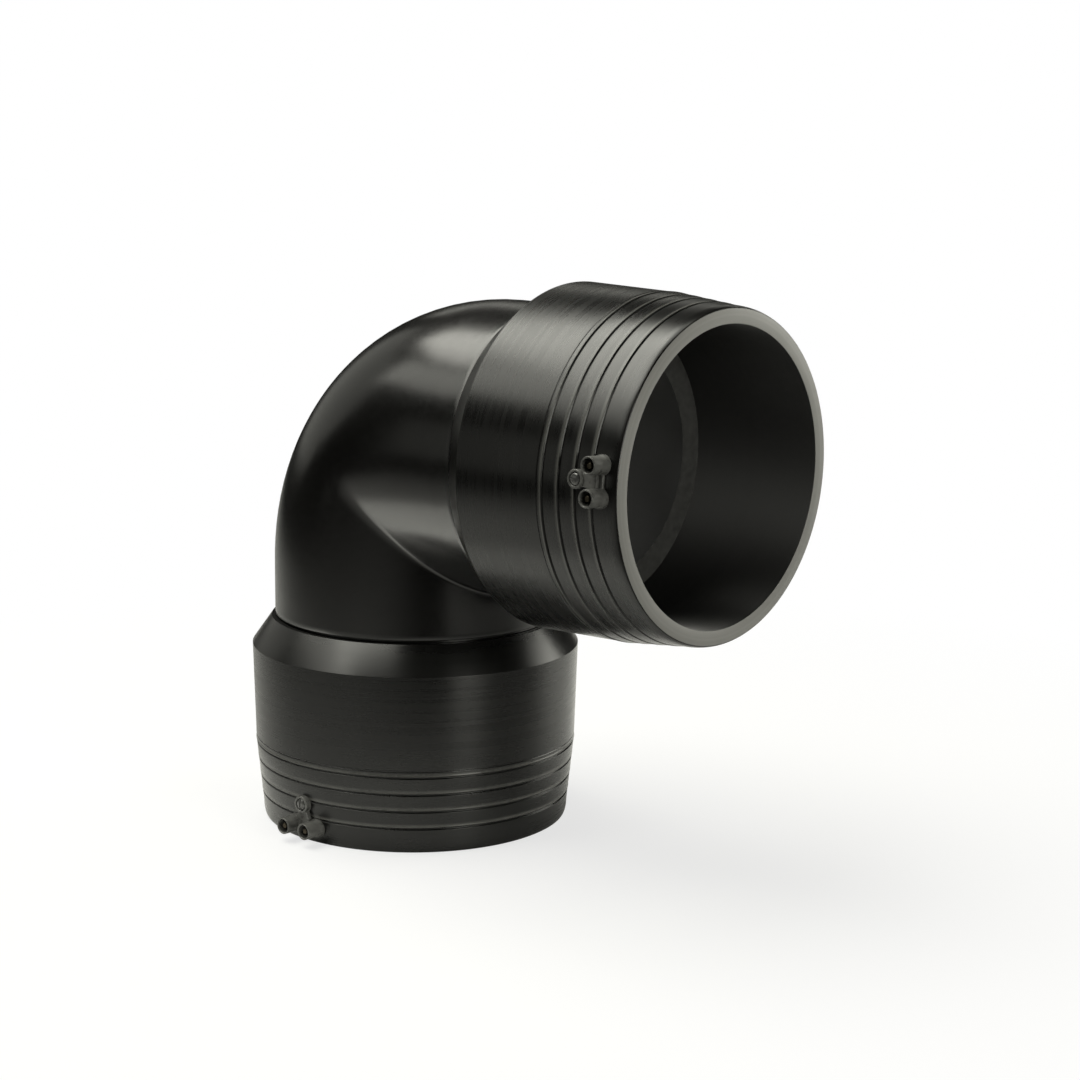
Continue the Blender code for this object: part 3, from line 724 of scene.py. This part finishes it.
def plate_tool(name, outline, low, high, edge, place):
    """A plate with an outline of (x, y) points and softened edges."""
    shape = bmesh.new()
    face = shape.faces.new([shape.verts.new((x, y, low)) for x, y in outline])
    grown = bmesh.ops.extrude_face_region(shape, geom=[face])["geom"]
    top = [item for item in grown if isinstance(item, bmesh.types.BMVert)]
    bmesh.ops.translate(shape, verts=top, vec=(0, 0, high - low))
    bmesh.ops.recalc_face_normals(shape, faces=shape.faces)
    bmesh.ops.bevel(shape, geom=shape.edges[:], offset=edge, segments=3, profile=0.5,
                    affect="EDGES", material=-1)
    bmesh.ops.transform(shape, matrix=place, verts=shape.verts)
    return loose(shape, name)


def gusset_tool(t, boss_skin, top, place):
    """The web that narrows from the shrouds to the boss."""
    foot = t.spacing / 2 * 0.75
    tip = 0.0024
    rise = t.boss_from_mouth - t.from_mouth
    outline = [(-foot, 0), (foot, 0), (tip, rise), (-tip, rise)]
    return plate_tool("gusset", outline, boss_skin - 0.0020, top - 0.0016, 0.0006, place)


def shroud_tools(t, skin, rim, place):
    """The outside of a shroud, then the bore and the pin's hole that are cut from it."""
    foot = skin - SHROUD_SEAT
    floor = rim - t.shroud_depth
    flare = t.shroud_bore + 0.0006
    hole = t.pin_radius + SEAT_GAP
    shroud = rounded([(0, foot), (t.shroud_base, foot), (t.shroud_base, skin + 0.0010),
                      (t.shroud_radius + 0.0002, skin + 0.0042), (t.shroud_radius, rim),
                      (0, rim)], 0.0005)
    bore = rounded([(0, floor), (t.shroud_bore, floor), (t.shroud_bore, rim - 0.0005),
                    (flare, rim + 0.0002), (flare, rim + CUT_PAST), (0, rim + CUT_PAST)],
                   0.0003, 3)
    pin_hole = [(0, foot - CUT_PAST / 2), (hole, foot - CUT_PAST / 2), (hole, rim), (0, rim)]
    return (turned_tool("shroud", shroud, SMALL_FACETS, place),
            turned_tool("bore", bore, SMALL_FACETS, place),
            turned_tool("hole", pin_hole, PIN_FACETS, place))


def boss_tools(t, boss_skin, top, place):
    """The outside of the indicator's boss, then the well that is cut from it."""
    foot = boss_skin - BOSS_SEAT
    hole = t.indicator_radius + 0.0004
    flare = hole + 0.0005
    boss = rounded([(0, foot), (t.boss_radius, foot), (t.boss_radius, top), (0, top)], 0.0006)
    well = rounded([(0, boss_skin - CUT_PAST), (hole, boss_skin - CUT_PAST),
                    (hole, top - 0.0004), (flare, top + 0.0002), (flare, top + CUT_PAST),
                    (0, top + CUT_PAST)], 0.0003, 3)
    return (turned_tool("boss", boss, SMALL_FACETS, place),
            turned_tool("well", well, SMALL_FACETS, place))


class ELBOW_OT_terminal_blocks(bpy.types.Operator):
    """Model the moulded terminal blocks with their shrouds, bosses and webs"""
    bl_idname = "elbow.terminal_blocks"
    bl_label = "Terminal Blocks"

    def execute(self, context):
        t = context.scene.elbow_terminals
        finish = fine_finish("terminal_polyethylene", t.plastic, t.block_roughness)
        skin = surface_radius(t.from_mouth)
        rim = skin + t.shroud_height
        boss_skin = surface_radius(t.boss_from_mouth)
        top = boss_skin + t.boss_height
        half, thick = t.spacing / 2, 0.0030
        web = [(-half, -thick), (half, -thick), (half, thick), (-half, thick)]
        for end, upper in ENDS:
            centre = terminal_frame(upper, 0, t.from_mouth)
            joined = [gusset_tool(t, boss_skin, top, centre)]
            cuts = []
            for x in (half, -half):
                place = terminal_frame(upper, x, t.from_mouth)
                shroud, *hollows = shroud_tools(t, skin, rim, place)
                joined.append(shroud)
                cuts += hollows
            place = terminal_frame(upper, 0, t.boss_from_mouth)
            boss, well = boss_tools(t, boss_skin, top, place)
            joined.append(boss)
            cuts.append(well)
            block = plate_tool(end + "_terminals", web, skin - 0.0034, skin + 0.0018, 0.0008,
                               centre)
            applied(block, joined, "UNION")
            applied(block, cuts, "DIFFERENCE")
            block.data.materials.clear()
            block.data.materials.append(finish)
            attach(block, BODY)
            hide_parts(end + "_terminal_block")
        return {"FINISHED"}


class ELBOW_OT_indicators(bpy.types.Operator):
    """Model the slotted, domed fusion indicators"""
    bl_idname = "elbow.indicators"
    bl_label = "Fusion Indicators"

    def execute(self, context):
        t = context.scene.elbow_terminals
        finish = fine_finish("indicator_polyethylene", t.indicator, t.indicator_roughness, 0.5,
                             grain=2200.0, depth=0.00001)
        top = surface_radius(t.boss_from_mouth) + t.boss_height + 0.0006
        foot = top - 0.0085
        radius, dome = t.indicator_radius, 0.0014
        arc = [(radius * math.sin(a), top - dome + dome * math.cos(a))
               for a in (math.radians(step * 7.5) for step in range(13))]
        half, reach = 0.0005, 0.006
        slot = [(-half, -reach), (half, -reach), (half, reach), (-half, reach)]
        for end, upper in ENDS:
            place = terminal_frame(upper, 0, t.boss_from_mouth)
            shape = bmesh.new()
            spun(shape, arc + [(radius, foot), (0, foot)], SMALL_FACETS, place)
            piece = fold(shape, end + "_indicator", [finish])
            cut = plate_tool("slot", slot, top - 0.0011, top + 0.003, 0.0001, place)
            applied(piece, [cut], "DIFFERENCE")
            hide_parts(end + "_fusion_indicator")
        return {"FINISHED"}


class ELBOW_OT_pins(bpy.types.Operator):
    """Turn the brass contact pins inside the shrouds"""
    bl_idname = "elbow.pins"
    bl_label = "Contact Pins"

    def execute(self, context):
        t = context.scene.elbow_terminals
        # The pins' colour carries painted shade.
        finish = fine_finish("pin_brass", t.brass, t.pin_roughness, 1.0, grain=3000.0,
                             depth=0.00001)
        skin = surface_radius(t.from_mouth)
        tip = skin + t.shroud_height - PIN_RECESS
        seat = skin - SHROUD_SEAT - SEAT_GAP
        for end, upper in ENDS:
            low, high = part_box(end + "_terminal_pin_a")
            foot = tip - max(high - low) + SEAT_GAP
            profile = rounded([(0, tip), (t.pin_radius, tip), (t.pin_radius, seat),
                               (PIN_FOOT_RADIUS, seat), (PIN_FOOT_RADIUS, foot), (0, foot)],
                              0.0006)
            for label, x in (("a", t.spacing / 2), ("b", -t.spacing / 2)):
                shape = bmesh.new()
                spun(shape, profile, PIN_FACETS, terminal_frame(upper, x, t.from_mouth))
                piece = fold(shape, end + "_pin_" + label, [finish])
                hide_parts(end + "_terminal_pin_" + label)
        return {"FINISHED"}


class ELBOW_OT_coils(bpy.types.Operator):
    """Give the heating coils inside the socket walls their wire finish"""
    bl_idname = "elbow.coils"
    bl_label = "Heating Coils"

    def execute(self, context):
        t = context.scene.elbow_terminals
        finish = fine_finish("heating_wire", t.wire, t.wire_roughness, 1.0)
        for name in ("upper_heating_coil", "lower_heating_coil"):
            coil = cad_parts[name]
            coil.data.materials.clear()
            coil.data.materials.append(finish)
        return {"FINISHED"}


# Stage

CAMERA_PLACE = (1.1431, -1.2448, 0.5415)
CAMERA_RIGHT = (0.74814, 0.66346, 0.01037)
CAMERA_UP = (-0.13361, 0.13532, 0.98176)
CAMERA_BACK = (0.64996, -0.73588, 0.18989)
STAGE_CENTRE = Vector((0, 0, 0.2))
SENSOR_WIDTH = 36.0
LAMP_COLOUR = (1.0, 0.995, 0.90)
TENT_RADIUS = 2.7
FLOOR_RADIUS = 4.0


def around(azimuth, elevation, distance):
    """A place round the elbow: degrees to the right of the camera, degrees up, metres away."""
    turn, rise = math.radians(azimuth), math.radians(elevation)
    toward = Vector((CAMERA_BACK[0], CAMERA_BACK[1], 0)).normalized()
    aside = Vector((-toward.y, toward.x, 0))
    level = toward * math.cos(turn) + aside * math.sin(turn)
    return STAGE_CENTRE + (level * math.cos(rise) + Vector((0, 0, math.sin(rise)))) * distance


def softbox(name, azimuth, elevation, distance, size, brightness):
    """A rectangular softbox that faces the elbow; a brightness of 1 is white."""
    data = bpy.data.lights.new(name, "AREA")
    data.shape = "RECTANGLE"
    data.size, data.size_y = size
    data.energy = math.pi * size[0] * size[1] * brightness
    data.color = LAMP_COLOUR
    lamp = linked(name, data)
    lamp.location = around(azimuth, elevation, distance)
    lamp.rotation_euler = (lamp.location - STAGE_CENTRE).to_track_quat("Z", "Y").to_euler()
    return lamp


def black_tent():
    """A round black tent that keeps the white background out of the plastic's reflections."""
    shape = bmesh.new()
    bmesh.ops.create_uvsphere(shape, u_segments=48, v_segments=24, radius=TENT_RADIUS)
    low = [v for v in shape.verts if v.co.z < -0.5]
    bmesh.ops.delete(shape, geom=low, context="VERTS")
    bmesh.ops.translate(shape, verts=shape.verts, vec=STAGE_CENTRE)
    mesh = mesh_of(shape, "tent")
    mesh.materials.append(plastic("tent", (0.02, 0.02, 0.02), 0.9, specular=0.0)[0])
    tent = linked("tent", mesh)
    tent.visible_camera = False


def white_world():
    """A background that is white to the camera and lights the elbow at a plain level."""
    world = bpy.data.worlds.new("studio")
    bpy.context.scene.world = world
    world.use_nodes = True
    tree = world.node_tree
    back = tree.nodes["Background"]
    back.inputs["Color"].default_value = WHITE
    tree.links.new(spread(tree, seen_background(tree), 0.35, 1.0), back.inputs["Strength"])


def seen_background(tree):
    """One where the camera, a mirror reflection or clear matter sees the surface, or none."""
    path = node(tree, "LightPath").outputs
    seen = calc(tree, "MAXIMUM", path["Is Camera Ray"], path["Is Glossy Ray"])
    return calc(tree, "MAXIMUM", seen, path["Is Transmission Ray"])


def painted_floor_shade(tree, place, apart):
    """Painted shade on the floor in the plastic's reflections: dark in front and far to the left.
    """
    def reach(azimuth):
        direction = around(azimuth, 0, 1) - STAGE_CENTRE
        return node(tree, "VectorMath", {0: place, 1: direction},
                    operation="DOT_PRODUCT").outputs["Value"]

    aside = calc(tree, "DIVIDE", reach(90), apart)
    ahead = calc(tree, "DIVIDE", reach(0), apart)
    falling = spread(tree, aside, 0.62, 0.05, -0.75, 0.05)
    step = spread(tree, aside, 0.0, 0.42, 0.40, 0.43)
    rising = calc(tree, "MULTIPLY", step, spread(tree, apart, 0.35, 1.0, 0.5, 0.9))
    front = calc(tree, "ADD", falling, rising)
    behind = calc(tree, "MULTIPLY", spread(tree, ahead, 1.0, 0.0, -0.35, 0.20),
                  spread(tree, aside, 0.55, 1.0, -0.30, 0.30))
    close = spread(tree, apart, 1.0, 0.0, 0.26, 0.42)
    # Painted shade: far off to the left the floor darkens.
    painted_dark_far_left = spread(tree, reach(-83), 1.0, 0.05, 0.45, 1.20)
    pale = calc(tree, "MAXIMUM", calc(tree, "MAXIMUM", front, behind), close)
    return calc(tree, "MULTIPLY", pale, painted_dark_far_left)


def floor_finish(settings):
    """The floor's material: plain white to the camera, with a soft shadow near the elbow."""
    material, tree, shader = plastic("floor", settings.floor, 0.9, specular=0.0)
    glow = node(tree, "Emission", {"Color": WHITE, "Strength": 1.0})
    place = node(tree, "TexCoord").outputs["Object"]
    apart = node(tree, "VectorMath", {0: place}, operation="LENGTH").outputs["Value"]
    near = spread(tree, apart, settings.shadow, 0.0, 0.25, 0.85)
    camera_ray = node(tree, "LightPath").outputs["Is Camera Ray"]
    total = calc(tree, "ADD", calc(tree, "MULTIPLY", camera_ray, near),
                 calc(tree, "SUBTRACT", 1.0, camera_ray))
    mix = node(tree, "MixShader", {0: total, 1: glow.outputs["Emission"],
                                   2: shader.outputs["BSDF"]})
    # Away from the camera the floor's colour carries the painted shade.
    shown = calc(tree, "MAXIMUM", painted_floor_shade(tree, place, apart), camera_ray)
    tree.links.new(ramp(tree, shown, (0, 0, 0), settings.floor), shader.inputs["Base Color"])
    tree.links.new(mix.outputs["Shader"], tree.nodes["Material Output"].inputs["Surface"])
    return material


def round_floor(settings):
    """The floor, just under the elbow."""
    shape = bmesh.new()
    bmesh.ops.create_circle(shape, cap_ends=True, segments=96, radius=FLOOR_RADIUS)
    floor = linked("floor", mesh_of(shape, "floor"))
    floor.location.z = CAD_LOW.z - 0.0002
    floor.data.materials.append(floor_finish(settings))


def softboxes(settings):
    """The lamps round the elbow, and a small one on the floor that lights only the bend."""
    softbox("overhead_softbox", -100, 65, 2.1, (2.3, 1.35), settings.overhead)
    softbox("left_softbox", -85, 39, 2.3, (2.4, 0.5), settings.left)
    softbox("zenith_softbox", 146, 80, 2.1, (1.9, 0.75), settings.zenith)
    softbox("back_softbox", -135, 18, 2.5, (3.6, 1.4), settings.back)
    softbox("side_softbox", -72, 8, 2.4, (1.2, 0.9), settings.side)
    softbox("rim_softbox", 175, 25, 2.4, (1.6, 0.35), settings.rim)
    low = softbox("floor_softbox", -98, 0, 0.30, (0.32, 0.32), settings.low)
    low.location.z = CAD_LOW.z + 0.002
    low.rotation_euler = (math.pi, 0, math.radians(-147))
    bend_only = bpy.data.collections.new("bend_only")
    bend_only.objects.link(bpy.data.objects["bend_body"])
    low.light_linking.receiver_collection = bend_only
    softbox("mouth_softbox", 38, 12, 2.2, (0.75, 1.0), settings.mouth)
    softbox("right_softbox", 112, 12, 2.2, (1.1, 1.1), settings.right)


def photo_camera(settings):
    """The camera, where the photo was taken from."""
    data = bpy.data.cameras.new("camera")
    data.lens, data.sensor_width = settings.lens, SENSOR_WIDTH
    camera = linked("camera", data)
    turn = Matrix((CAMERA_RIGHT, CAMERA_UP, CAMERA_BACK)).transposed()
    camera.matrix_world = Matrix.Translation(CAMERA_PLACE) @ turn.to_4x4()
    bpy.context.scene.camera = camera


class ELBOW_OT_stage(bpy.types.Operator):
    """Set the pale floor, the white background, the softboxes and the camera"""
    bl_idname = "elbow.stage"
    bl_label = "Stage"

    def execute(self, context):
        settings = context.scene.elbow_stage
        context.scene.view_settings.view_transform = "Standard"
        white_world()
        round_floor(settings)
        black_tent()
        softboxes(settings)
        photo_camera(settings)
        return {"FINISHED"}


class ELBOW_PT_panel(bpy.types.Panel):
    """Buttons that build the elbow's pieces and its stage"""
    bl_idname = "ELBOW_PT_panel"
    bl_label = "Electrofusion Elbow"
    bl_space_type = "VIEW_3D"
    bl_region_type = "UI"
    bl_category = "Elbow"

    def draw(self, context):
        for operator in OPERATORS:
            self.layout.operator(operator.bl_idname)


OPERATORS = (ELBOW_OT_bend, ELBOW_OT_sockets, ELBOW_OT_terminal_blocks, ELBOW_OT_indicators,
             ELBOW_OT_pins, ELBOW_OT_coils, ELBOW_OT_stage)
GROUPS = {"elbow_bend": ElbowBendSettings, "elbow_sockets": ElbowSocketSettings,
          "elbow_terminals": ElbowTerminalSettings, "elbow_stage": ElbowStageSettings}


def register():
    """Register the settings, operators and panel."""
    for group in (*GROUPS.values(), *OPERATORS, ELBOW_PT_panel):
        bpy.utils.register_class(group)
    for name, group in GROUPS.items():
        setattr(bpy.types.Scene, name, PointerProperty(type=group))


def unregister():
    """Remove the settings, operators and panel."""
    for name in GROUPS:
        delattr(bpy.types.Scene, name)
    for group in reversed((*GROUPS.values(), *OPERATORS, ELBOW_PT_panel)):
        bpy.utils.unregister_class(group)


def main():
    """Build every piece in order."""
    register()
    bpy.ops.elbow.bend()
    bpy.ops.elbow.sockets()
    bpy.ops.elbow.terminal_blocks()
    bpy.ops.elbow.indicators()
    bpy.ops.elbow.pins()
    bpy.ops.elbow.coils()
    bpy.ops.elbow.stage()


if __name__ == "__main__":
    main()
